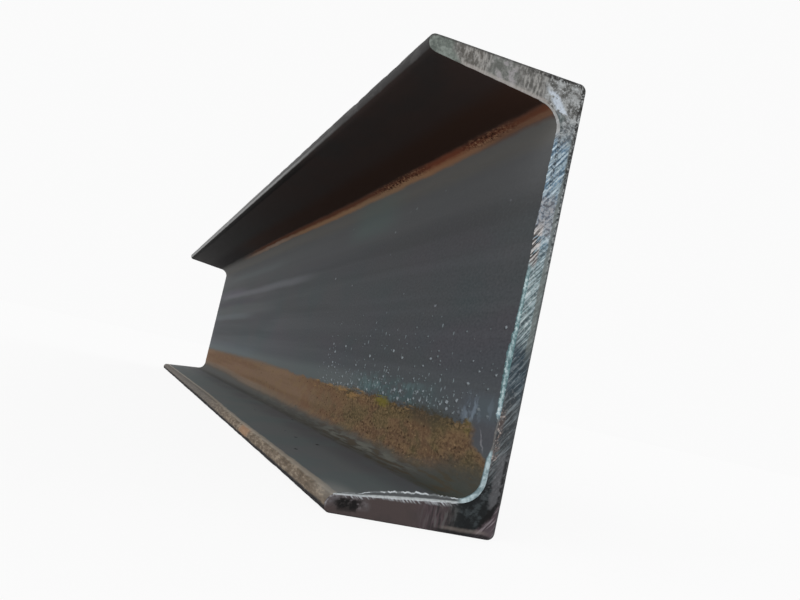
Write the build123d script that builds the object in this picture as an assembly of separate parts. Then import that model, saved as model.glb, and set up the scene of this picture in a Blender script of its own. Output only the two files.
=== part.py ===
"""Hot-rolled steel channel: one rolled piece with sloped inner flange faces, sawn square at both ends.

It stands on its lower flange with the web upright, as it rests on a level floor.
X runs across the flanges, with the toes at -X and the back of the web at +X.
Y runs along the rolled length and Z is up.
The origin lies on the floor, under the middle of the channel's box.
"""

import os

from build123d import *

# Driving dimensions, in millimetres.
LENGTH = 1200.0  # between the two sawn ends
HEIGHT = 200.0  # between the outer faces of the two flanges
FLANGE_WIDTH = 75.0  # from the back of the web to the toes
WEB_THICKNESS = 9.0
FLANGE_THICKNESS = 11.0  # halfway between the web's inner face and the toe
FLANGE_SLOPE = 0.1  # an inner flange face thins the flange by 1 in 10 towards the toe
ROOT_RADIUS = 11.0  # hollow corner where a flange grows out of the web
TOE_RADIUS = 4.5  # inner edge of a toe
TOE_EDGE_RADIUS = 3.0  # outer edge of a toe
HEEL_RADIUS = 3.0  # outer corner where the web's back meets a flange

# Places across the section, worked out from the driving dimensions.
back_x = FLANGE_WIDTH / 2
web_face_x = back_x - WEB_THICKNESS
toe_x = back_x - FLANGE_WIDTH
flange_reach = web_face_x - toe_x
root_thickness = FLANGE_THICKNESS + FLANGE_SLOPE * flange_reach / 2
toe_thickness = FLANGE_THICKNESS - FLANGE_SLOPE * flange_reach / 2


def both_flanges(x, depth):
    """The corner at that depth below the outer face of each flange, lower flange first."""
    return [(x, depth), (x, HEIGHT - depth)]


def rounded(section, corners, radius):
    """The section with the vertices at those corners rounded."""
    vertices = [section.vertices().sort_by_distance(corner)[0] for corner in corners]
    return fillet(vertices, radius)


def rolled_section():
    """The channel's cross-section, with the height along the sketch's Y."""
    heels = both_flanges(back_x, 0)
    toe_edges = both_flanges(toe_x, 0)
    toes = both_flanges(toe_x, toe_thickness)
    roots = both_flanges(web_face_x, root_thickness)
    lower, upper = zip(heels, toe_edges, toes, roots)
    section = make_face(Polyline(*lower, *reversed(upper), close=True))
    section = rounded(section, roots, ROOT_RADIUS)
    # The inner rounding of a toe takes at most what its outer rounding leaves of the toe's face.
    section = rounded(section, toes, min(TOE_RADIUS, toe_thickness - TOE_EDGE_RADIUS))
    section = rounded(section, toe_edges, TOE_EDGE_RADIUS)
    return rounded(section, heels, HEEL_RADIUS)


def steel_channel():
    """The section run along Y, half the length to each side of the origin."""
    return extrude(Plane.XZ * rolled_section(), amount=LENGTH / 2, both=True)


os.makedirs("parts", exist_ok=True)
channel = steel_channel()
channel.label = "steel_channel"
export_step(channel, "parts/steel_channel.step")
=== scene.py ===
"""The looks of a hot-rolled steel channel: mill scale, rust along the roots, worn toes and sawn ends.

Lengths are in millimetres, in the part's own frame: X across the flanges, Y along the length, Z up.
They become metres where Blender takes them, and only the floor's reach is written in metres.
The front end is the sawn end at -Y, which faces the camera.
"""

import math

import bpy
import numpy as np
from mathutils import Matrix, Vector, geometry, noise

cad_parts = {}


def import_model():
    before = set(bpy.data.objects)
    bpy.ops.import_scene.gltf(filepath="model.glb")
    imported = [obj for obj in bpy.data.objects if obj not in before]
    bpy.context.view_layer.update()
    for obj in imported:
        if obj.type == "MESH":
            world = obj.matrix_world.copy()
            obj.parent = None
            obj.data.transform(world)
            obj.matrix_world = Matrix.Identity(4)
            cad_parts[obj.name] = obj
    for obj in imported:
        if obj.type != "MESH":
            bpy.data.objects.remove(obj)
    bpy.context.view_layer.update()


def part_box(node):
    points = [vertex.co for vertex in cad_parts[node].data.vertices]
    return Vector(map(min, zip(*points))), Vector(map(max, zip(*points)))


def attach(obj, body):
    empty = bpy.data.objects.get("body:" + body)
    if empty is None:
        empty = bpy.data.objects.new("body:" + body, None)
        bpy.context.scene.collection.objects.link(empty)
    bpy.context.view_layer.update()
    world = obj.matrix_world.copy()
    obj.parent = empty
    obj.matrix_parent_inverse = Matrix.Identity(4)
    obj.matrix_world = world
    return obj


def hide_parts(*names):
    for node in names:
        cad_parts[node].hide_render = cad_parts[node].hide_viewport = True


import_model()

MM = 0.001
NODE = "steel_channel"
BODY = "root"

# The rolled section. Its overall sizes come from the frame.
WEB_THICKNESS = 9.0
FLANGE_THICKNESS = 11.0  # halfway between the web's inner face and the toe
FLANGE_SLOPE = 0.1
ROOT_RADIUS = 11.0
TOE_RADIUS = 4.5  # inner edge of a toe
TOE_EDGE_RADIUS = 3.0  # outer edge of a toe
HEEL_RADIUS = 3.0

box_low, box_high = [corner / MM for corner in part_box(NODE)]
front_y, rear_y = box_low.y, box_high.y
toe_x, back_x = box_low.x, box_high.x
height = box_high.z
mid_z = height / 2
web_face_x = back_x - WEB_THICKNESS
flange_reach = web_face_x - toe_x
root_thickness = FLANGE_THICKNESS + FLANGE_SLOPE * flange_reach / 2
toe_thickness = FLANGE_THICKNESS - FLANGE_SLOPE * flange_reach / 2

# How finely the mesh follows the section and the length.
INNER_STEP = 1.6  # between points on the section's inner straight runs
OUTER_STEP = 4.0  # between points on its outer straight runs
ROUND_STEP = 1.0  # between points on its roundings
FRONT_STEP = 1.0  # between the first rings behind the front end
REAR_STEP = 2.5  # between the last rings
LONGEST_STEP = 7.0  # between rings halfway along
STEP_GROWTH = 0.02  # how much the step grows with each millimetre from an end
EDGE_BREAK = 0.25  # blunting of the sawn edges
EDGE_RAGGEDNESS = 0.8  # share of it that comes and goes
INSIDE_ONLY = 1  # keeps the triangles of a sawn end inside its outline
SAME_POINT = 1e-6  # points of a sawn end closer than this are one

# The saw marks and the points of the sawn ends, which lie in rows along the marks.
SAW_ANGLE = math.radians(55)  # from X towards Z
SAW_ALONG_STEP = 1.8
SAW_ACROSS_STEP = 0.6
ENDS_APART = 50.0  # between the two ends' noise

# How far the rolled faces and the sawn ends stray from plain ones.
LONG_WAVE = 0.10
RIPPLE = 0.05
RUST_PIT = 0.13
TOE_WEAR = 0.5
HEEL_WEAR = 0.2  # share of the toes' wear
SAW_LINE = 0.055
SAW_SWELL = 0.09
END_GRAIN = 0.05
END_BUMP = 0.06
HEEL_ROUGHNESS = 2.2  # times the grain and bumps, added on the upper heel
TOE_HOLLOW = 0.9
TOE_HOLLOW_PLACE = (-28, 4.7)  # x and z
TOE_HOLLOW_SIZE = (4.5, 1.9)

# Places on the section are ways along it from the middle of the web's inner face, alike up and down. The web
# ends at 76, the root at 92, the inner flange face at 144, the toe at 156, the outer flange face at 225 and
# the heel at 230.

# The burr that the saw left along the front end's inner edge: its height at ways, negative up the web.
BURR_HEIGHTS = (
    (-94, 0), (-86, 0.6), (-76, 1.1), (-58, 1.2), (-44, 1.1), (-33, 1.6), (-26, 1.3), (-16, 1.1), (-4, 1.2),
    (10, 1.4), (22, 2.4), (33, 2.2), (44, 1.5), (49, 1.4), (51, 0.1), (56, 0.5), (61, 0.2), (64, 0.8),
    (67, 1.7), (76, 2.1), (86, 1.9), (93, 1.5), (98, 1.9), (106, 2.6), (114, 2.7), (122, 2.2), (128, 1.8),
    (132, 1.3), (134, 0.5), (141, 0.4), (146, 0),
)
BURR_STEP = 0.5  # between the burr's sections
BURR_ROOT = 0.45  # how deep its foot is sunk
BURR_TATTERS = (0.3, 0.22)  # how much its height comes and goes, coarsely and finely
BURR_CALM = 0.75  # how much less so round the root
BURR_LEAN = 0.25  # how far it leans, as a share of its height
# Its section, from the foot of the front face over the tip to the foot of the back face. Each point has a
# share of the height, or None at a foot, and a way back.
BURR_PROFILE = ((None, -0.2), (0.2, -0.22), (0.6, -0.2), (1.0, -0.1), (1.0, 0.1), (0.5, 0.3), (None, 0.8))

# The map that bakes are laid out on: the rolled sides unrolled over its lower part and the sawn ends above.
SIDES_SHARE = 0.8  # of the map's height
END_SCALE = 0.00245  # share of the map to a millimetre of a sawn end
END_GAP = 0.01  # between the sides and the ends

# The camera, in millimetres and degrees.
CAMERA_PLACE = (-129.5, -937.8, 53.6)
CAMERA_TURN = -17.18  # about Z, from looking along +Y
CAMERA_TILT = 5.61  # above the horizon
CAMERA_ROLL = 12.57
CAMERA_LENS = 39.43

# The stage and its light.
FLOOR_REACH = 60  # metres
FLOOR_SHADE = 0.8
FLOOR_GLOW = 0.9  # share of plain white in the floor as it is seen
BACKDROP = 0.96
SKY_STRENGTH = 0.5
LAMPS = (("key", 1.5, (0.66, 0.6, -0.36)), ("fill", 1.0, (-0.65, -0.45, -0.45)))  # name, energy, direction
LAMP_SPREAD = math.radians(60)
SHARP_ANGLE = math.radians(50)  # edges sharper than this are not shaded smooth

# Noise and the ragged edges of spots.
SEED_SHIFT = (1, 1.7, 2.3)  # how far a seed moves noise along each axis
SPOT_RAGGEDNESS = 2.4  # how far an edge strays, in radii
SPOT_GRAIN = 8  # how often it strays to a cell

# Soft streaks that rolling left on the web's inner face, away from the front end:
# height, half width, start and end behind the front end, colour and strength.
WEB_STREAKS = (
    (136, 3.5, 480, 1150, (112, 114, 119), 0.5),
    (162, 4, 640, 1050, (100, 108, 110), 0.4),
    (125, 4, 800, 1250, (58, 56, 64), 0.5),
    (140, 5, 900, 1250, (100, 96, 108), 0.45),
    (112, 6, 640, 1250, (88, 94, 94), 0.3),
    (103, 4, 800, 1250, (100, 108, 112), 0.4),
    (82, 8, 800, 1250, (62, 67, 70), 0.4),
    (57, 6, 700, 1250, (92, 101, 108), 0.3),
)

# Stretches of the lower rust's upper edge where it lifts in flakes, in millimetres behind the front end.
RIM_FLAKES = ((110, 140), (205, 275), (280, 350))


def rounded_path(points, radii, steps):
    """A path through points, with the inner ones rounded, and each straight run in steps of its length."""
    path = [points[0]]

    def run_to(end, step):
        start = path[-1]
        count = max(1, round((end - start).length / step))
        path.extend(start.lerp(end, (i + 1) / count) for i in range(count))

    for before, corner, after, radius, step in zip(points, points[1:], points[2:], radii, steps):
        arm_in = (before - corner).normalized()
        arm_out = (after - corner).normalized()
        half_angle = arm_in.angle(arm_out) / 2
        leg = radius / math.tan(half_angle)
        centre = corner + (arm_in + arm_out).normalized() * radius / math.sin(half_angle)
        run_to(corner + arm_in * leg, step)
        start_spoke = path[-1] - centre
        turn = start_spoke.angle_signed(corner + arm_out * leg - centre)
        count = max(2, round(abs(turn) * radius / ROUND_STEP))
        for i in range(count):
            spoke = start_spoke.copy()
            spoke.rotate(Matrix.Rotation(-turn * (i + 1) / count, 2))
            path.append(centre + spoke)
    run_to(points[-1], steps[-1])
    return path


def section_outline():
    """Points round the section, and each one's way along it from the middle of the web's inner face."""
    corners = [
        Vector((web_face_x, mid_z)),
        Vector((web_face_x, root_thickness)),
        Vector((toe_x, toe_thickness)),
        Vector((toe_x, 0)),
        Vector((back_x, 0)),
        Vector((back_x, mid_z)),
    ]
    radii = (ROOT_RADIUS, TOE_RADIUS, TOE_EDGE_RADIUS, HEEL_RADIUS)
    steps = (INNER_STEP, INNER_STEP, ROUND_STEP, OUTER_STEP, OUTER_STEP)
    lower = np.array(rounded_path(corners, radii, steps))
    way = np.concatenate([[0], np.cumsum(np.linalg.norm(np.diff(lower, axis=0), axis=1))])
    upper = lower[-2:0:-1] * (1, -1) + (0, height)
    return np.concatenate([lower, upper]), np.concatenate([way, way[-2:0:-1]])


def outward_of(outline):
    """The direction out of the steel at each point of the outline."""
    ahead = np.roll(outline, -1, axis=0) - np.roll(outline, 1, axis=0)
    outward = np.stack([ahead[:, 1], -ahead[:, 0]], axis=1)
    return outward / np.linalg.norm(outward, axis=1)[:, None]


def stations():
    """Places of the rings along the length, closer together near the ends."""
    start, end = front_y + EDGE_BREAK, rear_y - EDGE_BREAK
    places = [start]
    while places[-1] < end:
        from_front = FRONT_STEP + STEP_GROWTH * (places[-1] - start)
        from_rear = REAR_STEP + STEP_GROWTH * (end - places[-1])
        places.append(places[-1] + min(from_front, from_rear, LONGEST_STEP))
    places = np.array(places)
    inner = start + (places - start) * (end - start) / (places[-1] - start)
    return np.concatenate([[front_y], inner, [rear_y]])


def lumps(points, size, seed=0):
    """Smooth noise from -1 to 1 at each point, with lumps of that size along its axes."""
    places = points / np.array(size) + seed
    return np.array([noise.noise(place) for place in places.tolist()])


def step_up(values, start, end):
    """A smooth step from 0 at the start to 1 at the end."""
    share = np.clip((values - start) / (end - start), 0, 1)
    return share * share * (3 - 2 * share)


def rolled_relief(points, way):
    """How far the rolled surface stands out at each point: soft waves, rust pitting and worn toes."""
    lower = points[:, 2] < mid_z
    waves = LONG_WAVE * lumps(points, (50, 110, 50), 3) + RIPPLE * lumps(points, (12, 200, 12), 7)
    rust = np.where(lower, step_up(way, 50, 56), step_up(way, 77, 82)) * (1 - step_up(way, 88, 100))
    grains = lumps(points, (3.2, 3.2, 3.2), 11) + 0.8 * lumps(points, (6, 9, 6), 13)
    toe = step_up(way, 142, 150) * (1 - step_up(way, 154, 162))
    heel = step_up(way, 222, 227) * (1 - step_up(way, 229, 234))
    dents = np.maximum(0, lumps(points, (10, 12, 10), 17))
    rubs = np.maximum(0, lumps(points, (10, 45, 10), 19))
    return waves + RUST_PIT * rust * grains - TOE_WEAR * (toe + HEEL_WEAR * heel) * (dents + 0.5 * rubs)


def outline_depth(points, outline):
    """How far each point lies inside the outline. It is negative outside."""
    runs = np.roll(outline, -1, axis=0) - outline
    offset = points[:, None] - outline
    share = np.clip((offset * runs).sum(2) / (runs * runs).sum(1), 0, 1)
    near = np.linalg.norm(offset - share[..., None] * runs, axis=2).min(1)
    over_start = points[:, None, 1] >= outline[:, 1]
    over_end = points[:, None, 1] >= np.roll(outline[:, 1], -1)
    rise = np.where(runs[:, 1] == 0, 1, runs[:, 1])
    crossing = outline[:, 0] + offset[..., 1] / rise * runs[:, 0]
    inside = ((over_start != over_end) & (crossing > points[:, None, 0])).sum(1) % 2 == 1
    return np.where(inside, near, -near)


def saw_frame(x, z):
    """The ways along and across the saw marks."""
    along = x * math.cos(SAW_ANGLE) + z * math.sin(SAW_ANGLE)
    across = z * math.cos(SAW_ANGLE) - x * math.sin(SAW_ANGLE)
    return along, across


def end_points(outline):
    """Points inside a sawn end, in rows along the saw marks."""
    count = int(height / SAW_ACROSS_STEP)
    rows = np.arange(-count, count)
    across, along = np.meshgrid(rows * SAW_ACROSS_STEP, rows * SAW_ALONG_STEP)
    along = along + rows % 2 * SAW_ALONG_STEP / 2
    x = along * math.cos(SAW_ANGLE) - across * math.sin(SAW_ANGLE)
    z = mid_z + along * math.sin(SAW_ANGLE) + across * math.cos(SAW_ANGLE)
    points = np.stack([x.ravel(), z.ravel()], axis=1)
    points = points[(np.abs(points[:, 0]) < back_x) & (np.abs(points[:, 1] - mid_z) < mid_z)]
    return points[outline_depth(points, outline) > SAW_ACROSS_STEP]


def sawn_relief(points, side):
    """How far a sawn end stands out: saw marks, a rough upper heel and, in front, a hollow by the toe."""
    x, z = points.T
    along, across = saw_frame(x, z)
    level = np.full(len(x), ENDS_APART * side)
    marks_at = np.stack([along, across, level], axis=1)
    flat_at = np.stack([x, level, z], axis=1)
    on_web = step_up(x, 20, 28)
    marks = SAW_LINE * lumps(marks_at, (50, 1.6, 1), 5) + SAW_SWELL * lumps(marks_at, (80, 5.2, 1), 9)
    mottle = END_GRAIN * lumps(flat_at, (2.2, 1, 2.2), 15) + END_BUMP * lumps(flat_at, (7, 1, 7), 21)
    heel = step_up(x, 22, 32) * step_up(z, 176, 188)
    relief = marks * (0.3 + 0.7 * on_web) + mottle * (1 - 0.6 * on_web) + HEEL_ROUGHNESS * heel * mottle
    if side < 0:
        out_x, out_z = ((points - TOE_HOLLOW_PLACE) / TOE_HOLLOW_SIZE).T
        relief = relief - TOE_HOLLOW * np.exp(-out_x**2 - out_z**2)
    return relief


def sawn_end(outline):
    """The inner points of a sawn end and its triangles, which number the outline's points first."""
    inner = end_points(outline)
    flat = [Vector(point) for point in np.concatenate([outline, inner]).tolist()]
    edges = [(i, (i + 1) % len(outline)) for i in range(len(outline))]
    _, _, triangles, sources, _, _ = geometry.delaunay_2d_cdt(flat, edges, [], INSIDE_ONLY, SAME_POINT)
    return inner, [[sources[i][0] for i in triangle] for triangle in triangles]


def sides_map(outline, rings):
    """The places of the rolled faces' corners on the bake map, face by face."""
    runs = np.linalg.norm(np.roll(outline, -1, axis=0) - outline, axis=1)
    up = np.concatenate([[0], np.cumsum(runs)]) / runs.sum() * SIDES_SHARE
    along = (rings - rings[0]) / (rings[-1] - rings[0])
    ring, side = np.divmod(np.arange((len(rings) - 1) * len(outline)), len(outline))
    corner_along = along[np.stack([ring, ring + 1, ring + 1, ring], axis=1)]
    corner_up = up[np.stack([side, side, side + 1, side + 1], axis=1)]
    return np.stack([corner_along.ravel(), corner_up.ravel()], axis=1)


def end_map(points, triangles, side):
    """The places of a sawn end's corners on the bake map, lying on its side."""
    x, _, z = points[np.ravel(triangles)].T
    along = z * END_SCALE if side < 0 else 1 - (height - z) * END_SCALE
    return np.stack([along, SIDES_SHARE + END_GAP + (x - toe_x) * END_SCALE], axis=1)


def ring_faces(rings, around):
    """The faces between that many rings, each of that many points."""
    faces = []
    for ring in range(rings - 1):
        for i in range(around):
            here, ahead = ring * around + i, ring * around + (i + 1) % around
            faces.append((here, here + around, ahead + around, ahead))
    return faces


def rolled_sides(outline, way, rings):
    """The points of the rolled sides, ring by ring, and each one's way along the section."""
    sections = np.tile(outline, (len(rings), 1))
    outward = np.tile(outward_of(outline), (len(rings), 1))
    y = np.repeat(rings, len(outline))
    ways = np.tile(way, len(rings))
    points = np.stack([sections[:, 0], y, sections[:, 1]], axis=1)
    sawn = (y == front_y) | (y == rear_y)
    blunting = sawn * EDGE_BREAK * (1 + EDGE_RAGGEDNESS * lumps(points, (3, 3, 3), 23))
    out = rolled_relief(points, ways) - blunting
    points[:, [0, 2]] += out[:, None] * outward
    return points, ways


def channel_mesh():
    """Points and faces of the whole channel, the count of its rolled faces, two numbers for each point (its
    way along the section and its depth inside a sawn end) and the faces' corners on the bake map."""
    outline, way = section_outline()
    rings = stations()
    around = len(outline)
    points, ways = rolled_sides(outline, way, rings)
    faces = ring_faces(len(rings), around)
    rolled_faces = len(faces)
    bake_map = [sides_map(outline, rings)]
    depths = np.zeros(len(points))
    for ring, side in ((0, -1), (len(rings) - 1, 1)):
        rim = np.arange(ring * around, (ring + 1) * around)
        edge = points[rim][:, [0, 2]]
        inner, triangles = sawn_end(edge)
        numbers = np.concatenate([rim, len(points) + np.arange(len(inner))])
        triangles = [tuple(numbers[triangle[::-side]].tolist()) for triangle in triangles]
        faces.extend(triangles)
        level = rings[ring] + side * sawn_relief(inner, side)
        points = np.concatenate([points, np.stack([inner[:, 0], level, inner[:, 1]], axis=1)])
        bake_map.append(end_map(points, triangles, side))
        depths = np.concatenate([depths, outline_depth(inner, edge)])
        ways = np.concatenate([ways, np.zeros(len(inner))])
    return points, faces, rolled_faces, {"way": ways, "depth": depths}, np.concatenate(bake_map)


def section_at(at):
    """The section's points at ways, negative up the web, and the directions out of the steel there."""
    outline, way = section_outline()
    half = np.argmax(way) + 1
    ways = np.concatenate([-way[:half][::-1], way[1:half]])
    mirror = np.concatenate([[0], np.arange(len(outline) - 1, half - 1, -1), [half - 1]])
    order = np.concatenate([mirror[::-1], np.arange(1, half)])
    return [
        np.stack([np.interp(at, ways, values[order, axis]) for axis in (0, 1)], axis=1)
        for values in (outline, outward_of(outline))
    ]


def burr_mesh():
    """The points and faces of the burr, a ragged fin along the front end's inner edge, and two numbers for
    each point: its way along the section and its rise from foot to tip."""
    heights = np.array(BURR_HEIGHTS)
    at = np.arange(heights[0, 0], heights[-1, 0], BURR_STEP)
    edge, out = section_at(at)
    line = np.stack([at, at * 0, at * 0], axis=1)
    smooth = step_up(at, 62, 68) * (1 - step_up(at, 92, 98))
    coarse, fine = BURR_TATTERS
    tatters = coarse * lumps(line, (2.6, 1, 1), 31) + fine * lumps(line, (0.9, 1, 1), 37)
    tall = np.interp(at, *heights.T) * (1 + (1 - BURR_CALM * smooth) * tatters)
    lean = BURR_LEAN * tall * lumps(line, (14, 1, 1), 41)
    columns = []
    for share, back in BURR_PROFILE:
        rise = np.full(len(at), -BURR_ROOT) if share is None else tall * share
        leaning = lean * (share or 0)
        place = edge + rise[:, None] * out
        columns.append(np.stack([place[:, 0], front_y + back + leaning, place[:, 1]], axis=1))
    points = np.stack(columns, axis=1).reshape(-1, 3)
    count = len(BURR_PROFILE)
    faces = [(first, *others[::-1]) for first, *others in ring_faces(len(at), count)]
    faces.append(tuple(range(count))[::-1])
    faces.append(tuple(range(len(points) - count, len(points))))
    rises = np.tile([share or 0 for share, _ in BURR_PROFILE], len(at))
    return points, faces, {"way": np.repeat(at, count), "rise": rises}


class Field:
    """A number that a material works out at each point of the surface."""

    def __init__(self, look, socket):
        self.look = look
        self.socket = socket

    def math(self, operation, *others, swapped=False):
        terms = (*others, self) if swapped else (self, *others)
        node = self.look.node("Math", dict(enumerate(terms)), operation=operation)
        return Field(self.look, node.outputs[0])

    def __add__(self, other):
        return self.math("ADD", other)

    def __sub__(self, other):
        return self.math("SUBTRACT", other)

    def __mul__(self, other):
        return self.math("MULTIPLY", other)

    def __rsub__(self, other):
        return self.math("SUBTRACT", other, swapped=True)

    __radd__ = __add__
    __rmul__ = __mul__

    def above(self, place, soft, ends=(0, 1)):
        """A soft step that wide at the place, from one end below it to the other above it."""
        inputs = {"Value": self, "From Min": place - soft * 0.5, "From Max": place + soft * 0.5}
        inputs.update(zip(("To Min", "To Max"), ends))
        node = self.look.node("MapRange", inputs, interpolation_type="SMOOTHSTEP")
        return Field(self.look, node.outputs["Result"])

    def below(self, place, soft):
        return self.above(place, soft, ends=(1, 0))

    def between(self, low, high, soft):
        return self.above(low, soft) * self.below(high, soft)

    def coat(self, amount, colour, roughness=None):
        """Lays a coat over what the look has, as thick as the field times the amount."""
        self.look.lay(self * amount, colour, roughness)

    def wave(self, length):
        """A wave of that length, from 0 to 1."""
        return (self * (math.tau / length)).math("SINE") * 0.5 + 0.5


def linear(colour):
    """A screen colour of 0 to 255 as the light that a shader takes."""
    shares = [part / 255 for part in colour]
    light = [share / 12.92 if share <= 0.04045 else ((share + 0.055) / 1.055) ** 2.4 for share in shares]
    return [*light, 1]


class Look:
    """A material that is laid on in coats, each with a colour, a roughness and where it lies."""

    def __init__(self, name, colour, roughness, metallic=0.0, specular=0.5):
        self.material = bpy.data.materials.new(name)
        self.material.use_nodes = True
        self.tree = self.material.node_tree
        self.shader = self.tree.nodes["Principled BSDF"]
        self.shader.inputs["Metallic"].default_value = metallic
        self.shader.inputs["Specular IOR Level"].default_value = specular
        metres = self.node("TexCoord").outputs["Object"]
        self.position = self.node("VectorMath", {0: metres, 3: 1 / MM}, operation="SCALE").outputs[0]
        split = self.node("SeparateXYZ", {0: self.position})
        self.x, self.y, self.z = [Field(self, split.outputs[axis]) for axis in "XYZ"]
        self.way = self.attribute("way")
        self.behind = self.y - front_y
        self.lower = self.z.below(mid_z, 2)
        self.upper = 1 - self.lower
        self.colour = linear(colour)
        self.roughness = roughness
        self.relief = None

    def node(self, kind, inputs=(), **settings):
        made = self.tree.nodes.new("ShaderNode" + kind)
        for name, value in settings.items():
            setattr(made, name, value)
        for socket, value in dict(inputs).items():
            self.feed(made.inputs[socket], value)
        return made

    def feed(self, socket, value):
        """Links a worked-out value to a socket, or sets a plain one on it."""
        value = value.socket if isinstance(value, Field) else value
        if isinstance(value, bpy.types.NodeSocket):
            self.tree.links.new(value, socket)
        else:
            socket.default_value = value

    def attribute(self, name):
        return Field(self, self.node("Attribute", attribute_name=name).outputs["Fac"])

    def vector(self, *fields):
        return self.node("CombineXYZ", dict(enumerate(fields))).outputs[0]

    def counted(self, size, seed, at):
        """The surface's place, counted in that size along three axes."""
        size = [1 / part for part in size]
        inputs = {0: at or self.position, 1: size, 2: [seed * part for part in SEED_SHIFT]}
        return self.node("VectorMath", inputs, operation="MULTIPLY_ADD").outputs[0]

    def noise(self, size, seed, detail=3, rough=0.5, at=None):
        """Cloudy noise about 0.5, with clouds of that size along three axes."""
        inputs = {"Vector": self.counted(size, seed, at), "Scale": 1, "Detail": detail, "Roughness": rough}
        return Field(self, self.node("TexNoise", inputs).outputs["Fac"])

    def spots(self, size, seed, share, radius, at):
        """Ragged spots, one to each cell of that size on a flat map. A share of them shows, and the mean
        radius is counted in cells."""
        place = self.counted((*size, 1), seed, at)
        cells = self.node("TexVoronoi", {"Vector": place, "Scale": 1}, voronoi_dimensions="2D")
        shade = self.node("SeparateColor", {0: cells.outputs["Color"]})
        chance, growth = [Field(self, shade.outputs[i]) for i in (0, 1)]
        edge = self.node("TexNoise", {"Vector": place, "Scale": SPOT_GRAIN, "Detail": 1})
        ragged = Field(self, edge.outputs["Fac"]) - 0.5
        reach = radius * (0.5 + growth) + ragged * radius * SPOT_RAGGEDNESS
        shape = (reach - Field(self, cells.outputs["Distance"])).above(0, 0.1)
        return shape * (share - chance).above(0.01, 0.02)

    def lay(self, thickness, colour, roughness):
        """Lays a colour over what is there, and a roughness where one is given."""
        mix = self.node("Mix", data_type="RGBA")
        for number, value in ((0, thickness), (6, self.colour), (7, linear(colour))):
            self.feed(mix.inputs[number], value)
        self.colour = mix.outputs[2]
        if roughness is not None:
            mix = self.node("Mix", {0: thickness, 2: self.roughness, 3: roughness})
            self.roughness = Field(self, mix.outputs[0])

    def emboss(self, field, depth):
        """Adds a field to the fine relief, that deep."""
        added = field * depth
        self.relief = added if self.relief is None else self.relief + added

    def finish(self):
        self.feed(self.shader.inputs["Base Color"], self.colour)
        self.feed(self.shader.inputs["Roughness"], self.roughness)
        bump = self.node("Bump", {"Height": self.relief, "Distance": MM, "Strength": 1.0})
        self.feed(self.shader.inputs["Normal"], bump.outputs["Normal"])
        return self.material


def mill_scale(look):
    """The blue-grey skin that rolling leaves, with clouds, lengthwise streaks and a fine grain."""
    look.noise((60, 150, 60), 4).above(0.52, 0.22).coat(0.6, (58, 70, 73))
    look.noise((50, 190, 50), 9).above(0.54, 0.2).coat(0.45, (74, 70, 78))
    look.noise((11, 700, 11), 12, detail=2).above(0.58, 0.18).coat(0.3, (84, 87, 91))
    look.noise((16, 600, 16), 16, detail=2).above(0.57, 0.16).coat(0.4, (52, 55, 58))
    grain = look.noise((1.3, 2.6, 1.3), 2)
    grain.below(0.42, 0.16).coat(0.25, (44, 45, 47))
    grain.above(0.6, 0.16).coat(0.2, (92, 95, 98))
    look.emboss(grain, 0.05)


def web_streaks(look):
    """Soft streaks along the web's inner face, paler mill scale near its lower edge, and painted light near
    its upper edge that lifts the shade under the upper flange.
    """
    inner = look.way.below(80, 8)
    # painted light: the web paler towards the upper flange, lifting the shade there
    inner.coat(look.z.above(120, 90) * 0.4, (84, 84, 84))
    inner.coat(look.z.above(158, 40) * 0.7, (104, 106, 107))
    inner.coat(look.z.below(68, 26) * 0.35, (92, 98, 101))
    inner.coat(look.z.below(57, 10) * look.behind.above(210, 120) * 0.4, (104, 113, 112))
    waver = (look.noise((20, 160, 20), 18, detail=2) - 0.5) * 5
    for level, half_width, start, end, colour, strength in WEB_STREAKS:
        across = (look.z + waver).between(level - half_width, level + half_width, half_width * 1.6)
        inner.coat(across * look.behind.between(start, end, 160) * strength, colour)


def web_specks(look, unrolled):
    """Small pale flakes on the web, most with a painted shadow beside them, and a blue-green haze just above
    the rust.
    """
    z, behind = look.z, look.behind
    web = look.lower * look.way.below(70, 10) * z.above(46, 3)
    haze = look.noise((8, 24, 8), 41, detail=4, rough=0.6)
    upright = look.noise((5, 7, 8), 43)
    blue_green = web * behind.between(95, 225, 70) * z.below(57, 12)
    blue_green.coat(haze.above(0.44, 0.2) * 0.7, (64, 86, 88))
    blue_green.coat(haze.above(0.48, 0.16) * upright.above(0.52, 0.16) * 0.55, (104, 128, 130))
    bluish = web * behind.between(5, 40, 16) * z.below(57, 10)
    bluish.coat(haze.above(0.42, 0.2) * 0.5, (80, 89, 99))
    bluish.coat(upright.above(0.55, 0.12) * 0.6, (128, 142, 156))

    zone = web * behind.between(16, 330, 60)
    share = zone * (0.03 + 0.09 * z.below(86, 40) + 0.38 * z.below(58, 16))
    # painted shadows: dark copies of the flakes, set a little aside
    edge = look.node("VectorMath", {0: unrolled, 1: (-1.4, -0.6, 0)}, operation="ADD").outputs[0]
    for size, seed, colour in (((9.5, 4.4), 3, (146, 154, 160)), ((5.4, 2.5), 5, (118, 129, 133))):
        look.spots(size, seed, share, 0.13, edge).coat(0.5, (44, 45, 47), 0.7)
        look.spots(size, seed, share, 0.13, unrolled).coat(1, colour, 0.7)
    upright_share = web * behind.between(60, 260, 60) * (0.05 + 0.3 * z.below(62, 20))
    look.spots((4.4, 5.6), 13, upright_share, 0.13, unrolled).coat(0.8, (136, 148, 153), 0.7)
    sparse = look.upper * look.way.below(70, 10) * behind.below(420, 200) * 0.03
    look.spots((12, 6), 11, sparse, 0.11, unrolled).coat(1, (124, 128, 134), 0.7)


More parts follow.
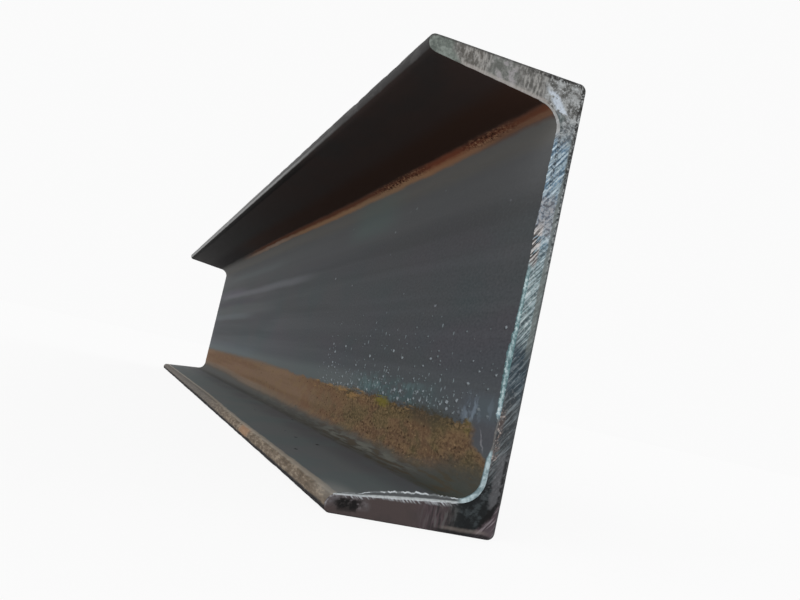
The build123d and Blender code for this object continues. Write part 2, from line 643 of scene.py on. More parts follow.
def lower_rust(look, unrolled):
    """Rust on the lower web and root: gritty near the front end, smooth and soft-edged further back."""
    z, way, behind = look.z, look.way, look.behind
    ragged = look.noise((8, 22, 8), 21, detail=5, rough=0.7) - 0.5
    grit = look.noise((1.6, 3.4, 1.6), 32, detail=4, rough=0.75)
    blotch = look.noise((6, 16, 6), 33, detail=4, rough=0.6)
    far = behind.above(480, 400)
    near = behind.below(300, 240)
    level = z + ragged * (10 - 6 * far) + (grit - 0.5) * 7 * near
    start = (behind + ragged * 26 + 30 * z.below(33, 12)).above(26, 11)
    web = look.lower * way.below(94, 4)
    place = way + ragged * (8 - 4 * far) + 5 * behind.below(60, 50) + 4 * behind.above(800, 300)
    root = place.above(81.5, 9 + 3 * far + 7 * behind.below(70, 60))
    band = web * start * level.below(44.6 + 3 * far, 1.8 + 7 * far) * (1 - root * 0.9)
    rust_colours(look, band, near, blotch)
    rust_grit(look, band, near, grit, unrolled)
    rust_rim(look, web * start, level, near, grit, blotch)
    rust_foot(look, ragged, place, root, near, far)
    bare_steel(look, web, ragged, blotch)


def rust_colours(look, band, near, blotch):
    """The band's browns: blotched near the front end, in soft streaks further back."""
    z, behind = look.z, look.behind
    hue = look.noise((12, 34, 12), 34, detail=2)
    soft = look.noise((8, 340, 8), 38)
    band.coat(0.92, (108, 92, 71), 0.92)
    band.coat(behind.between(300, 640, 240) * 0.8, (126, 103, 83), 0.9)
    band.coat(behind.above(640, 240) * 0.8, (126, 99, 80), 0.9)
    band.coat(behind.above(300, 160) * soft.above(0.54, 0.16) * 0.5, (134, 110, 92), 0.9)
    band.coat(behind.above(300, 160) * soft.below(0.46, 0.16) * 0.5, (114, 88, 70), 0.9)
    band.coat(near * z.above(36, 12) * blotch.above(0.47, 0.2) * 0.5, (118, 96, 66), 0.92)
    band.coat(near * blotch.below(0.47, 0.16) * 0.5, (84, 76, 56), 0.92)
    band.coat(behind.below(420, 200) * hue.above(0.5, 0.14) * 0.45, (116, 84, 64), 0.92)
    band.coat(near * hue.below(0.47, 0.14) * 0.4, (98, 88, 56), 0.92)
    band.coat(look.noise((5, 16, 5), 36).above(0.56, 0.14) * 0.4, (130, 108, 80), 0.92)


def rust_grit(look, band, near, grit, unrolled):
    """Dark and pale grains in the band, the dark ones in clusters."""
    clustered = look.noise((13, 42, 13), 40, detail=2).above(0.48, 0.14)
    dark_share = (0.04 + 0.14 * near) * (0.4 + clustered)
    band.coat(look.spots((5.2, 2.4), 31, dark_share, 0.2, unrolled) * 0.8, (46, 37, 30), 0.95)
    band.coat(near * look.spots((5.0, 2.3), 37, 0.14, 0.17, unrolled), (146, 122, 92), 0.95)
    thick = 0.2 + 0.3 * near + 0.5 * near * clustered
    band.coat(thick * grit.below(0.45, 0.12) * 0.55, (58, 47, 36), 0.95)
    band.coat(near * grit.above(0.57, 0.12) * 0.5, (144, 118, 86), 0.95)
    look.emboss(band * near * grit, 0.4)


def rust_rim(look, edge, level, near, grit, blotch):
    """The band's upper edge: dark and dull, bright where it lifts in flakes, and yellow in two places."""
    behind = look.behind
    flakes = look.noise((3, 22, 1.6), 35, detail=4, rough=0.65)
    rim = edge * level.between(40.8, 46.4, 2)
    rim.coat(near * grit.below(0.5, 0.2) * 0.6, (54, 49, 40), 0.9)
    dull = edge * level.between(38, 47, 5) * behind.between(58, 118, 30)
    dull.coat(blotch.above(0.42, 0.2) * 0.6, (70, 66, 54), 0.9)
    for start, end in RIM_FLAKES:
        rim.coat(behind.between(start, end, 16) * flakes.above(0.54, 0.1) * 0.75, (152, 121, 80), 0.9)
    rim.coat(behind.between(152, 178, 14) * flakes.above(0.42, 0.12) * 0.7, (120, 112, 46), 0.9)
    rim.coat(behind.between(25, 34, 5) * flakes.above(0.44, 0.12) * 0.45, (122, 110, 70), 0.9)


def rust_foot(look, ragged, place, root, near, far):
    """The foot of the root, where the rust gives way to brushed grey-green with a broken pale line."""
    way, behind, lower = look.way, look.behind, look.lower
    foot = lower * root * way.below(97, 6)
    brushed = look.noise((2.6, 22, 2.6), 39, detail=4)
    foot.coat(0.8, (69, 70, 67), 0.75)
    foot.coat(behind.below(60, 60) * 0.6, (62, 67, 60), 0.75)
    foot.coat(far * 0.6, (74, 76, 75), 0.7)
    lower.coat(place.between(75, 81, 3) * far * 0.45, (124, 114, 103), 0.8)
    foot.coat(behind.between(80, 600, 80) * brushed.above(0.54, 0.16) * 0.4, (92, 93, 86), 0.75)
    foot.coat(near * brushed.below(0.45, 0.14) * 0.6, (74, 64, 48), 0.85)
    line = lower * (way + ragged * 5).between(84, 90, 4) * behind.between(90, 260, 60)
    line.coat(brushed.above(0.52, 0.16) * 0.4, (116, 117, 107), 0.65)


def bare_steel(look, web, ragged, blotch):
    """Bare steel between the band and the cut, with one pale scratch."""
    z, behind = look.z, look.behind
    bare = web * behind.below(24, 8) * z.between(36, 58, 6)
    bare.coat(0.35, (76, 74, 80), 0.6)
    bare.coat(z.above(48, 6) * 0.45, (80, 94, 99), 0.6)
    scratch = web * (behind + (40 - z) * 0.7 + ragged * 14).between(13, 14.6, 0.8) * z.between(35, 43, 4)
    scratch.coat(blotch.above(0.42, 0.14) * 0.5, (146, 146, 152), 0.5)


def lower_flange(look, unrolled):
    """The lower flange's inner face: clean blue-grey with a few dark pits."""
    way = look.way
    mauve = look.noise((30, 60, 30), 49, detail=2)
    face = look.lower * way.between(95, 145, 8)
    face.coat(0.75, (86, 88, 88), 0.7)
    face.coat(way.above(113, 20) * 0.5, (102, 105, 106), 0.7)
    face.coat(look.behind.above(260, 200) * 0.3, (98, 103, 101), 0.7)
    face.coat(look.noise((40, 60, 20), 46, detail=2).above(0.5, 0.2) * 0.4, (82, 95, 95), 0.7)
    face.coat(way.below(112, 16) * mauve.above(0.46, 0.2) * 0.4, (78, 74, 80), 0.7)
    pitted = face * look.behind.between(80, 420, 120)
    pitted.coat(look.spots((31, 13), 53, 0.15, 0.06, unrolled), (30, 31, 32), 0.85)


def upper_root(look):
    """The underside of the upper flange and the rust along its root, which ends before the rear end."""
    behind = look.behind
    ragged = look.noise((6, 34, 6), 52, detail=4, rough=0.65) - 0.5
    place = look.way + ragged * 3.4 - 3 * behind.above(500, 400)
    gone = behind.above(840, 280)
    underside(look, place, gone)
    upper_rust(look, place, gone)


def underside(look, place, gone):
    """Painted shade: the upper flange's underside nearly black and its root darker still towards the rear
    end. Browner near the front end, with rust along the root, and a paler band on the web below the root as
    painted light against the shade there.
    """
    upper, behind = look.upper, look.behind
    under = upper * place.above(91, 4.5) * look.way.below(150, 4)
    root = upper * place.between(89, 111, 14)
    brown = look.noise((40, 90, 40), 27)
    # painted light: a paler band on the web below the root, lifting the shade under the flange
    upper.coat(place.between(73, 95, 8) * 0.9, (106, 105, 102), 0.75)
    # painted shade: the underside nearly black
    under.coat(0.96, (42, 39, 38), 0.8)
    under.coat(behind.below(520, 500) * brown.above(0.36, 0.3) * 0.6, (58, 44, 40), 0.85)
    root.coat((1 - gone) * 0.75, (54, 34, 24), 0.85)
    # painted shade: the root darker towards the rear end
    root.coat(gone * 0.75, (28, 23, 24), 0.85)


def upper_rust(look, place, gone):
    """A rusty root with a pale ridge that is partly rust and partly a painted highlight, gritty in two
    stretches, and a green tint on the web beside it.
    """
    upper, behind = look.upper, look.behind
    close = behind.below(75, 60)
    rust = upper * place.between(84.6, 90.8, 4) * (1 - gone)
    ridge = upper * place.between(83.9 + 1.5 * close, 86.9, 3 - 0.6 * close) * (1 - gone)
    rust.coat(0.9, (112, 67, 46), 0.9)
    # the pale ridge: rust colour with a painted highlight along the fillet
    ridge.coat(0.85, (158, 126, 99), 0.9)
    ridge.coat(close * 0.85, (116, 82, 66), 0.9)
    rust.coat(behind.between(90, 165, 50) * 0.5, (138, 74, 52), 0.9)
    ridge.coat(behind.between(100, 560, 120) * 0.4, (172, 132, 96), 0.9)
    ridge.coat(behind.above(590, 160) * 0.7, (162, 146, 134), 0.85)
    grit = look.noise((1.4, 3.6, 1.4), 54, detail=4, rough=0.7)
    gritty = rust * place.above(86, 2) * (behind.between(40, 95, 30) + behind.between(165, 255, 60))
    gritty.coat(grit.below(0.46, 0.1) * 0.8, (40, 26, 20), 0.95)
    gritty.coat(grit.above(0.58, 0.1) * (0.7 - 0.3 * close), (186, 146, 112), 0.95)
    look.emboss(rust * grit, 0.35)
    tinted = upper * look.way.between(58, 83, 14) * behind.between(225, 330, 70)
    tinted.coat(0.4, (98, 116, 113), 0.75)


def toes(look):
    """Worn toes: tan below, with a painted highlight along the upper edge and by the front end, and a black
    lower edge of painted shade; grey above, with a painted highlight along the inner edge and painted shade
    beside it.
    """
    way, behind = look.way, look.behind
    worn = look.noise((5, 18, 5), 51, detail=4, rough=0.6)
    far = behind.above(420, 300)
    place = way + (worn - 0.5) * 2.4 + 3 * far
    lower_toe = look.lower * place.between(144.8, 151.7 + 2 * far, 1.6)
    speckle = look.noise((2.2, 10, 2.2), 61, detail=4, rough=0.65)
    lower_toe.coat(0.9, (114, 101, 86), 0.75)
    lower_toe.coat(worn.above(0.54, 0.1) * 0.5, (124, 111, 96), 0.65)
    lower_toe.coat(speckle.above(0.56, 0.14) * 0.65, (164, 150, 132), 0.6)
    lower_toe.coat(speckle.below(0.42, 0.14) * 0.45, (66, 56, 48), 0.8)
    lower_toe.coat(far * 0.75, (96, 94, 91), 0.7)
    lower_toe.coat(behind.between(215, 250, 14) * 0.7, (164, 128, 98), 0.6)
    # painted highlight along the lower toe's upper edge
    edge = look.lower * place.between(143.4, 146.2, 1.2)
    edge.coat(0.75, (150, 141, 128), 0.5)
    # painted highlight on the toe's rounding by the front end
    look.lower.coat(way.between(137, 148, 10) * behind.below(24, 40) * 0.5, (140, 140, 136), 0.5)
    # painted shade: the lower toe's outer edge and the underside by it black
    look.lower.coat(place.between(151.7 + 2 * far, 164, 1.4) * 0.9, (26, 24, 24), 0.85)

    upper_toe = look.upper * (way + (worn - 0.5) * 0.8).above(147.3, 1.2) * way.below(157, 2)
    upper_toe.coat(0.92, (70, 69, 69), 0.7)
    upper_toe.coat(behind.above(420, 700) * 0.7, (150, 150, 150), 0.6)
    upper_toe.coat(worn.above(0.55, 0.1) * 0.3, (104, 103, 102), 0.6)
    # painted highlight along the upper toe's inner edge
    ridge = look.upper * (way + (worn - 0.5) * 1.2).between(147.6, 149.2, 0.9)
    ridge.coat(behind.above(240, 280) * 0.8, (160, 160, 160), 0.5)
    shade = look.upper * way.between(143, 147.3, 1.6)
    shade.coat(behind.above(250, 120) * 0.75, (10, 10, 10), 0.85)


def weathering(look, unrolled):
    """What handling leaves on the outer faces: rust freckles, scratches and rubbed heels."""
    outer = look.way.above(160, 6)
    dirt = look.noise((60, 140, 60), 71, detail=4, rough=0.6)
    outer.coat(0.4, (80, 82, 84))
    outer.coat(dirt.above(0.53, 0.2) * 0.35, (86, 79, 73), 0.75)
    outer.coat(look.spots((9, 8), 73, 0.09, 0.1, unrolled) * 0.8, (110, 86, 64), 0.9)
    scratches = look.noise((0.8, 260, 0.8), 75, detail=2)
    outer.coat(scratches.above(0.66, 0.06) * dirt.above(0.45, 0.1) * 0.35, (112, 115, 118), 0.5)
    rubbed = look.way.between(224, 231, 3)
    rubbed.coat(dirt.above(0.4, 0.4) * 0.3, (108, 108, 107), 0.5)


def rolled_steel():
    """Mill scale with rust along the roots, a dark upper underside and worn toes."""
    look = Look("rolled_steel", (70, 72, 75), 0.68, specular=0.08)
    unrolled = look.vector(look.y, look.way * (look.lower - look.upper), 0)
    mill_scale(look)
    web_streaks(look)
    weathering(look, unrolled)
    lower_flange(look, unrolled)
    upper_root(look)
    web_specks(look, unrolled)
    lower_rust(look, unrolled)
    toes(look)
    return look.finish()


def saw_marks(look):
    """Strokes of the saw: coarse ones at an even pitch, broken up, and fine ones between them."""
    along, across = saw_frame(look.x, look.z)
    marks_at = look.vector(along, across, look.y)
    bend = look.noise((26, 5, 40), 3, detail=2, at=marks_at)
    coarse = (across + bend * 5).wave(2.3)
    broken = look.noise((5, 2.0, 40), 6, at=marks_at)
    fine = look.noise((8, 0.55, 40), 8, detail=2, at=marks_at)
    return coarse, broken, fine


def sawn_web(look, coarse, broken, fine):
    """Up the web: dark at the foot, then slate, grey-green and blue, with dark strokes and light ones, the
    brightest of them painted glints.
    """
    x, z = look.x, look.z
    wander = look.noise((9, 30, 14), 11) - 0.5
    level = z + wander * 16
    web = x.above(21, 5) * z.between(18, 182, 10)
    low = level.between(60, 87, 12)
    bright = level.above(87, 12)
    high = level.above(124, 20)
    patchy = look.noise((5, 30, 7), 15)
    web.coat(0.95, (58, 60, 62), 0.6)
    web.coat(low * 0.9, (44, 61, 72), 0.56)
    web.coat(bright * 0.9, (134, 157, 159), 0.54)
    web.coat(high * 0.9, (106, 141, 170), 0.5)
    web.coat(high * patchy.above(0.55, 0.14) * 0.4, (132, 140, 142), 0.5)
    web.coat(high * patchy.below(0.43, 0.12) * 0.5, (88, 108, 128), 0.55)
    strokes = coarse.above(0.82, 0.3) * broken.above(0.46, 0.14) * (0.4 + 0.6 * patchy.above(0.46, 0.16))
    hollows = coarse.below(0.3, 0.4) * broken.above(0.36, 0.16)
    web.coat(hollows * (0.35 + 0.15 * level.above(64, 10)), (44, 54, 60), 0.65)
    web.coat(strokes * (0.45 + 0.25 * low), (126, 134, 139), 0.5)
    # painted glints on the saw strokes higher up the web
    web.coat(bright * strokes * 0.9, (208, 221, 223), 0.42)
    web.coat(high * strokes * 0.8, (208, 225, 238), 0.4)
    web.coat(fine.above(0.55, 0.12) * (0.15 + 0.5 * bright), (172, 188, 194), 0.44)
    web.coat(fine.below(0.42, 0.1) * 0.5, (46, 54, 60), 0.62)
    crumbs = look.noise((1.3, 9, 1.3), 17, rough=0.65)
    web.coat(bright * crumbs.above(0.56, 0.12) * 0.45, (170, 180, 184), 0.46)
    web.coat(bright * crumbs.below(0.44, 0.12) * 0.5, (66, 78, 86), 0.62)
    web_flaws(look, web, level, wander, crumbs, broken, fine)


def web_flaws(look, web, level, wander, crumbs, broken, fine):
    """A crumbly stretch, a plain strip with a chipped edge at the back, and flakes on the inner edge."""
    x, z = look.x, look.z
    granular = web * level.between(130, 147, 6) * x.below(35, 3)
    granular.coat(0.55, (124, 122, 126), 0.55)
    granular.coat(crumbs.above(0.54, 0.12) * 0.6, (168, 168, 171), 0.5)
    granular.coat(crumbs.below(0.45, 0.12) * 0.6, (82, 80, 86), 0.65)
    strip = (x + wander * 2).above(34.6 + 0.9 * z.above(158, 12), 0.9) * level.between(80, 182, 20)
    strip.coat(0.8, (102, 107, 104), 0.55)
    chipped = x.above(36, 0.8) * level.between(118, 182, 20)
    chipped.coat(crumbs.above(0.55, 0.08) * 0.7, (188, 190, 190), 0.5)
    chipped.coat(crumbs.below(0.46, 0.08) * 0.8, (34, 35, 36), 0.75)
    rusty = x.below(30.8, 1.4) * (z + wander * 5).between(118, 134, 6) * web
    rusty.coat(broken.above(0.42, 0.14) * 0.85, (206, 200, 197), 0.6)
    rusty.coat(fine.below(0.47, 0.1) * 0.9, (38, 33, 31), 0.8)
    flaky = x.below(31.4, 1.6) * z.between(30, 53, 5) * web
    flaky.coat(broken.above(0.5, 0.14) * 0.5, (98, 82, 77), 0.75)
    flaky.coat(crumbs.above(0.57, 0.08) * broken.above(0.46, 0.1) * 0.8, (192, 178, 170), 0.6)


def sawn_top(look, mottle, cloud, clod):
    """The upper flange: mottled grey, smoother halfway and greenish at the toe."""
    x, z = look.x, look.z
    top = z.above(183, 6)
    upright = look.noise((1.0, 20, 3.6), 19)
    top.coat(0.9, (111, 110, 107), 0.55)
    top.coat(x.between(-24, -11, 5) * 0.6, (100, 94, 87), 0.6)
    top.coat(mottle.above(0.53, 0.2) * 0.5, (150, 149, 146), 0.5)
    top.coat(mottle.below(0.46, 0.2) * 0.45, (82, 81, 78), 0.65)
    top.coat(upright.above(0.55, 0.12) * 0.5, (174, 172, 168), 0.5)
    top.coat(upright.below(0.43, 0.12) * 0.45, (74, 71, 66), 0.6)
    smooth = top * (x + (cloud - 0.5) * 12).between(-9, 5, 4)
    smooth.coat(0.65, (112, 116, 112), 0.55)
    smooth.coat(clod.above(0.54, 0.12) * 0.6, (166, 161, 164), 0.5)
    smooth.coat(clod.below(0.44, 0.1) * 0.5, (80, 81, 77), 0.6)
    toe = top * (x + (cloud - 0.5) * 18 + (z - 190) * 0.5).below(-22, 5)
    toe.coat(0.9, (98, 106, 100), 0.5)
    toe.coat(x.between(-33, -24, 6) * z.between(189, 197, 5) * 0.6, (132, 140, 134), 0.5)
    toe.coat(mottle.above(0.54, 0.14) * 0.4, (142, 150, 144), 0.5)
    toe.coat(mottle.below(0.46, 0.14) * 0.45, (76, 83, 78), 0.6)


def sawn_heel(look, mottle, grain, cloud, clod, depth):
    """The upper heel: crumbly, with a glazed patch, a dusky one below it and a worn black edge."""
    x, z = look.x, look.z
    heel = (x + (cloud - 0.5) * 10).above(18, 8) * z.above(174, 12)
    heel.coat(0.8, (118, 119, 118), 0.5)
    heel.coat(clod.above(0.54, 0.14) * 0.6, (176, 180, 181), 0.42)
    heel.coat(clod.below(0.46, 0.14) * 0.7, (64, 64, 61), 0.7)
    heel.coat(grain.above(0.58, 0.12) * 0.45, (206, 210, 212), 0.4)
    heel.coat(grain.below(0.42, 0.12) * 0.35, (64, 64, 62), 0.7)
    glazed = (x + (z - 189) * 0.8).between(22.5, 27.5, 2) * z.between(183.5, 193, 4)
    glazed.coat(mottle.above(0.47, 0.12) * 0.75, (206, 217, 230), 0.42)
    dusky = (x + (mottle - 0.5) * 6).between(25, 29.5, 2.5) * z.between(177, 184, 3)
    dusky.coat(0.7, (76, 90, 90), 0.6)
    worn = depth.below(1.6, 1.2) * x.above(10, 20) * z.above(150, 30)
    outer = x.above(29, 4).math("MAXIMUM", z.above(194, 3))
    worn.coat(outer * grain.below(0.52, 0.1) * 0.8, (30, 29, 28), 0.8)


def sawn_bottom(look, mottle, cloud):
    """The lower flange: brown-mauve with upright scratches, and mottled round a black pit at the toe."""
    x, z = look.x, look.z
    bottom = z.below(16, 5)
    upright = look.noise((1.5, 20, 8), 17, detail=4)
    bottom.coat(0.97, (70, 59, 58), 0.65)
    bottom.coat(x.between(2, 16, 10) * 0.6, (76, 63, 69), 0.65)
    bottom.coat(x.above(17, 8) * 0.7, (58, 62, 61), 0.65)
    bottom.coat(cloud.below(0.47, 0.14) * 0.4, (58, 53, 52), 0.65)
    scored = bottom * x.between(6, 30, 14)
    scored.coat(upright.above(0.56, 0.1) * 0.5, (98, 99, 98), 0.55)
    scored.coat(upright.below(0.45, 0.1) * 0.7, (30, 31, 32), 0.7)
    toe = bottom * (x + (cloud - 0.5) * 8).below(-20, 6) * z.above(3.5, 3)
    toe.coat(0.6, (90, 85, 87), 0.55)
    toe.coat(mottle.above(0.54, 0.14) * 0.4, (120, 118, 122), 0.5)
    toe.coat(mottle.below(0.46, 0.14) * 0.5, (68, 62, 63), 0.65)
    pit = (x + (mottle - 0.5) * 8).between(-33, -23.5, 4) * (z + (mottle - 0.5) * 4).between(2.2, 6.4, 2.4)
    pit.coat(0.8, (34, 29, 28), 0.9)
    pit.coat(mottle.below(0.54, 0.12) * 0.9, (14, 13, 13), 0.9)


def lower_heel(look, mottle, cloud, fine):
    """The lower root and heel: black, with a grey slab, a mauve corner, a gash and a pale lip."""
    x, z = look.x, look.z
    blot = look.noise((5, 20, 4), 29, detail=4, rough=0.65)
    dark = (x + (cloud - 0.5) * 10).above(18, 12) * (z + (cloud - 0.5) * 12).below(24, 10)
    dark.coat(0.9, (22, 29, 32), 0.7)
    dark.coat(blot.below(0.51, 0.1) * 0.95, (14, 18, 20), 0.8)
    dark.coat(blot.above(0.57, 0.1) * 0.25, (86, 95, 98), 0.55)
    slab = (x + (mottle - 0.5) * 4).above(32, 2) * z.between(12, 36, 6)
    slab.coat(0.75, (88, 88, 91), 0.55)
    slab.coat(x.above(35.4, 1) * mottle.below(0.52, 0.1) * 0.85, (24, 24, 25), 0.8)
    across = (z - x * 1.3 + 33 + (mottle - 0.5) * 5) * 0.6
    corner = across.below(-0.5, 1) * x.above(24, 6)
    corner.coat(0.85, (80, 68, 73), 0.6)
    corner.coat(fine.above(0.55, 0.1) * 0.5, (146, 138, 142), 0.5)
    gash = across.between(-1.2, 1.2, 1.2) * (x + (blot - 0.5) * 6).between(29.5, 35.6, 1.6)
    gash.coat(0.95, (12, 12, 13), 0.85)
    edge = z + (cloud - 0.5) * 3
    x.above(10, 8).coat(edge.below(1.4, 1) * 0.8, (20, 19, 20), 0.8)
    lip = x.between(14, 33, 8) * edge.between(1.4, 2.8, 1.2)
    lip.coat(0.45, (132, 122, 116), 0.6)


def sawn_edges(look, depth, mottle, cloud):
    """The cut's edges: a painted highlight under the upper flange, dark along its top, combed on the lower
    flange with a painted highlight line along it, and a painted highlight round the toe.
    """
    x, z = look.x, look.z
    rim = depth.below(0.7, 0.6)
    # painted highlight along the cut's edge under the upper flange
    under = depth.below(1.5, 1.2) * z.between(180, 193, 2) * x.between(-21, 21, 5)
    under.coat(0.65, (172, 166, 162), 0.45)
    rim.coat(z.above(197, 2) * 0.6, (56, 54, 52), 0.6)
    rim.coat(x.above(35, 2) * z.below(180, 6) * 0.5, (74, 74, 76), 0.6)
    teeth = look.noise((1.0, 2.5, 1), 27, rough=0.6, at=look.vector(x + 1.3 * z, 0.25 * z, 0))
    inner_edge = z.between(7, 14, 1.5) * x.between(-34, 18, 3)
    reach = depth + (cloud - 0.5) * 4
    inner_edge.coat(reach.below(1.5, 1.2) * teeth.above(0.53, 0.1) * 0.75, (196, 203, 208), 0.4)
    # painted highlight line right at the lower flange's inner edge
    inner_edge.coat(depth.below(0.45, 0.4) * mottle.above(0.4, 0.16) * 0.9, (220, 226, 230), 0.42)
    # painted highlight on the rim round the toe
    toe = z.between(3, 10, 3) * x.below(-33, 2)
    toe.coat(rim * mottle.above(0.45, 0.2) * 0.6, (178, 178, 180), 0.5)


def sawn_steel():
    """Saw-cut steel: lined up the web, mottled above and stained below at the front, plain at the rear."""
    look = Look("sawn_steel", (104, 106, 106), 0.55, metallic=0.5)
    mottle = look.noise((2.4, 9, 2.4), 9, detail=4, rough=0.6)
    grain = look.noise((1.1, 9, 1.1), 14, detail=4, rough=0.65)
    cloud = look.noise((12, 30, 12), 13)
    clod = look.noise((4.4, 20, 4.4), 23, detail=4, rough=0.65)
    depth = look.attribute("depth")
    coarse, broken, fine = saw_marks(look)
    sawn_web(look, coarse, broken, fine)
    sawn_top(look, mottle, cloud, clod)
    sawn_heel(look, mottle, grain, cloud, clod, depth)
    sawn_bottom(look, mottle, cloud)
    lower_heel(look, mottle, cloud, fine)
    sawn_edges(look, depth, mottle, cloud)
    rear = look.y.above(0, 1)
    rear.coat(0.92, (98, 101, 102), 0.55)
    # pale saw strokes on the rear end, carrying painted glints
    rear.coat(coarse.above(0.7, 0.4) * broken.above(0.42, 0.16) * 0.5, (150, 154, 156), 0.45)
    rear.coat(cloud.above(0.54, 0.16) * 0.4, (92, 84, 78), 0.65)
    grainy = look.z.above(18, 8)
    grainy.coat(grain.above(0.6, 0.12) * 0.2, (166, 168, 168))
    grainy.coat(grain.below(0.4, 0.12) * 0.25, (52, 53, 53))
    lined = look.x.above(21, 6).math("MAXIMUM", rear)
    look.emboss(lined * coarse * broken, 0.22)
    look.emboss(lined * fine, 0.08)
    look.emboss(grain, 0.1)
    return look.finish()


def burr_steel():
    """Torn steel: as sawn up the web, blue-green below, and paler round the root and along the flange, with
    painted light and shade across the fin: up the web and round the root a painted highlight on its middle
    and a darker tip, along the flange painted highlights at its foot and tip and painted shade between.
    """
    look = Look("burr_steel", (104, 106, 106), 0.5, metallic=0.5)
    way = look.way
    rise = look.attribute("rise")
    patchy = look.noise((3.0, 3.0, 3.0), 3)
    torn = look.noise((1.2, 1.2, 1.2), 5)
    sawn_web(look, *saw_marks(look))
    bead = way.between(-14, 94, 10)
    bead.coat(0.9, (96, 130, 134), 0.45)
    bead.coat(way.above(44, 6) * 0.8, (128, 150, 164))
    bead.coat(way.above(64, 6) * 0.8, (124, 142, 146))
    # painted highlight across the fin's middle
    bead.coat(rise.between(0.15, 0.75, 0.3) * patchy.above(0.44, 0.16) * 0.7, (176, 198, 202), 0.4)
    # painted shade: the fin darker at its tip
    bead.coat(rise.above(0.8, 0.3) * 0.6, (66, 92, 96), 0.5)
    rough = bead * way.below(64, 8)
    rough.coat(torn.below(0.45, 0.12) * 0.5, (62, 84, 88), 0.55)
    rough.coat(torn.above(0.6, 0.1) * 0.6, (206, 218, 220), 0.4)
    root = bead * way.above(66, 6)
    # painted highlight over the fin round the root
    root.coat(rise.below(0.85, 0.3) * patchy.above(0.48, 0.2) * 0.6, (192, 207, 212), 0.4)
    root.coat(torn.below(0.46, 0.12) * 0.3, (84, 104, 110), 0.5)
    flange = way.above(92, 4)
    flange.coat(0.9, (150, 156, 157), 0.45)
    # painted shade across the middle of the fin's face along the flange
    flange.coat(rise.between(0.2, 0.75, 0.2) * 0.9, (60, 62, 64), 0.5)
    flange.coat(rise.above(0.78, 0.12) * patchy.below(0.48, 0.08) * 0.8, (84, 88, 90), 0.5)
    # painted highlight at the fin's tip along the flange
    tip = flange * rise.above(0.78, 0.1) * patchy.above(0.5, 0.08)
    tip.coat((0.5 + 0.5 * torn.above(0.48, 0.1)), (200, 206, 210), 0.4)
    # painted highlight at the fin's foot along the flange
    flange.coat(rise.below(0.15, 0.2) * (0.5 + 0.5 * torn.above(0.47, 0.1)), (190, 195, 197), 0.4)
    way.between(50, 64, 3).coat(0.8, (90, 78, 72), 0.7)
    way.below(-74, 6).coat(0.75, (168, 165, 162), 0.5)
    look.emboss(torn, 0.3)
    return look.finish()


def link(made):
    bpy.context.scene.collection.objects.link(made)
    return made


def steel_piece(name, points, faces, numbers, materials):
    """A smooth mesh of steel that rides with the part, with named numbers at its points."""
    mesh = bpy.data.meshes.new(name)
    mesh.from_pydata((points * MM).tolist(), [], faces)
    for label, values in numbers.items():
        mesh.attributes.new(label, "FLOAT", "POINT").data.foreach_set("value", values.astype(np.float32))
    for material in materials:
        mesh.materials.append(material)
    mesh.shade_smooth()
    mesh.set_sharp_from_angle(angle=SHARP_ANGLE)
    piece = link(bpy.data.objects.new(name, mesh))
    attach(piece, BODY)
    return piece


def channel():
    """The channel itself, with rolled sides and sawn ends."""
    points, faces, rolled_faces, numbers, bake_map = channel_mesh()
    piece = steel_piece("channel", points, faces, numbers, [rolled_steel(), sawn_steel()])
    piece.data.polygons.foreach_set("material_index", [int(i >= rolled_faces) for i in range(len(faces))])
    piece.data.uv_layers.new(name="OFBake").data.foreach_set("uv", bake_map.ravel())
    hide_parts(NODE)


def burr():
    points, faces, numbers = burr_mesh()
    steel_piece("saw_burr", points, faces, numbers, [burr_steel()])


def seen_by_eye(tree):
    """A socket that is 1 for rays that show a thing itself: from the camera, mirrored or through glass."""
    path = tree.nodes.new("ShaderNodeLightPath")
    seen = path.outputs["Is Camera Ray"]
    for kind in ("Is Glossy Ray", "Is Transmission Ray"):
        either = tree.nodes.new("ShaderNodeMath")
        either.operation = "MAXIMUM"
        tree.links.new(seen, either.inputs[0])
        tree.links.new(path.outputs[kind], either.inputs[1])
        seen = either.outputs[0]
    return seen


def show(tree, plain, seen, share, output):
    """Feeds an output with a plain shader, and by that share with one that is seen in its place."""
    mix = tree.nodes.new("ShaderNodeMixShader")
    for source, socket in zip((share, plain.outputs[0], seen.outputs[0]), mix.inputs):
        tree.links.new(source, socket)
    tree.links.new(mix.outputs[0], tree.nodes[output].inputs["Surface"])


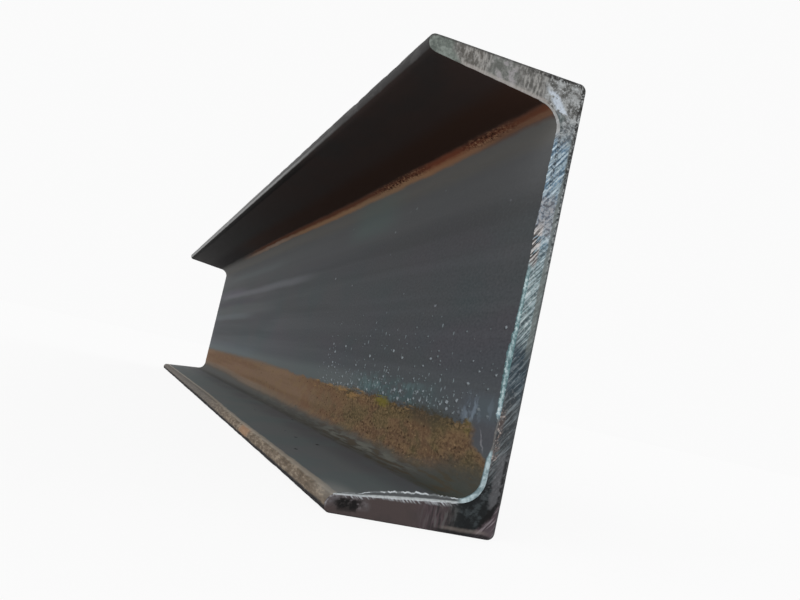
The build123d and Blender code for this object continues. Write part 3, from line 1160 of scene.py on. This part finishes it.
def floor():
    """A wide pale floor that keeps a faint shadow and is otherwise as white as the backdrop."""
    mesh = bpy.data.meshes.new("floor")
    corners = [(-1, -1), (1, -1), (1, 1), (-1, 1)]
    mesh.from_pydata([(x * FLOOR_REACH, y * FLOOR_REACH, 0) for x, y in corners], [], [(0, 1, 2, 3)])
    material = bpy.data.materials.new("floor")
    material.use_nodes = True
    tree = material.node_tree
    pale = tree.nodes.new("ShaderNodeBsdfDiffuse")
    pale.inputs["Color"].default_value = (FLOOR_SHADE, FLOOR_SHADE, FLOOR_SHADE, 1)
    white = tree.nodes.new("ShaderNodeEmission")
    share = tree.nodes.new("ShaderNodeMath")
    share.operation = "MULTIPLY"
    share.inputs[1].default_value = FLOOR_GLOW
    tree.links.new(seen_by_eye(tree), share.inputs[0])
    show(tree, pale, white, share.outputs[0], "Material Output")
    mesh.materials.append(material)
    link(bpy.data.objects.new("floor", mesh))


def world():
    """Even light from all round, and a white backdrop."""
    made = bpy.data.worlds.new("studio")
    made.use_nodes = True
    tree = made.node_tree
    light = tree.nodes["Background"]
    light.inputs["Color"].default_value = (1, 1, 1, 1)
    light.inputs["Strength"].default_value = SKY_STRENGTH
    white = tree.nodes.new("ShaderNodeBackground")
    white.inputs["Color"].default_value = (BACKDROP, BACKDROP, BACKDROP, 1)
    show(tree, light, white, seen_by_eye(tree), "World Output")
    bpy.context.scene.world = made


def soft_light(name, energy, direction):
    """Light from far away in that direction, as soft as an overcast sky."""
    data = bpy.data.lights.new(name, "SUN")
    data.energy = energy
    data.angle = LAMP_SPREAD
    made = link(bpy.data.objects.new(name, data))
    made.rotation_euler = Vector(direction).to_track_quat("-Z", "Y").to_euler()


def camera():
    data = bpy.data.cameras.new("camera")
    data.lens = CAMERA_LENS
    made = link(bpy.data.objects.new("camera", data))
    made.location = Vector(CAMERA_PLACE) * MM
    turn = Matrix.Rotation(math.radians(CAMERA_TURN), 3, "Z")
    tilt = Matrix.Rotation(math.radians(90 + CAMERA_TILT), 3, "X")
    roll = Matrix.Rotation(math.radians(CAMERA_ROLL), 3, "Z")
    made.rotation_euler = (turn @ tilt @ roll).to_euler()
    bpy.context.scene.camera = made


channel()
burr()
floor()
world()
for lamp in LAMPS:
    soft_light(*lamp)
camera()
bpy.context.scene.view_settings.view_transform = "Standard"
